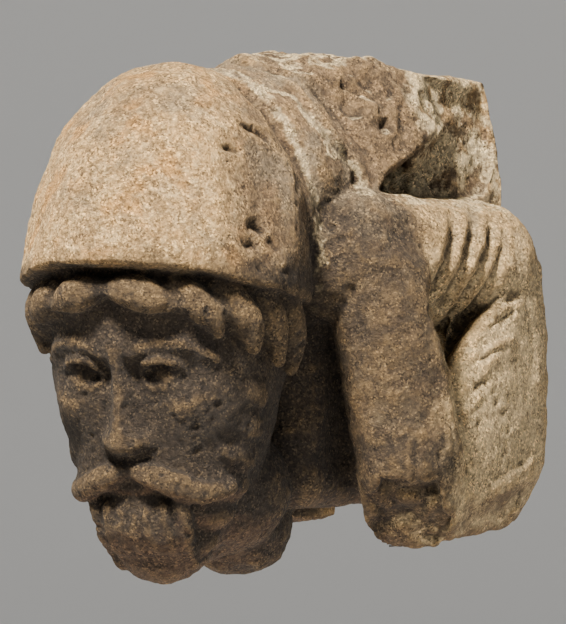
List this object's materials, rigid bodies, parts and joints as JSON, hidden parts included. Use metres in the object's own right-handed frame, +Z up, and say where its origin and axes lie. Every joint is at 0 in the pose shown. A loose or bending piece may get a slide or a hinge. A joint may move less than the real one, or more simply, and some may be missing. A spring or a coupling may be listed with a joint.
{
  "type": "figure corbel",
  "caption": "Carved sandstone corbel: a crouching, bearded man in a round cap on the end of a block, sawn flat at the back for the wall.",
  "frame": {"origin": "on the flat back face, on the figure's middle line, at the height of the cap's rim", "axes": "+Y out of the flat back face into the wall, +Z up, the figure looks along -Y and its left side is at +X"},
  "size_m": [0.3054, 0.4388, 0.3987],
  "materials": {
    "sandstone": "rough weathered sandstone"
  },
  "bodies": {
    "root": {"corbel": "sandstone"}
  },
  "joints": []
}
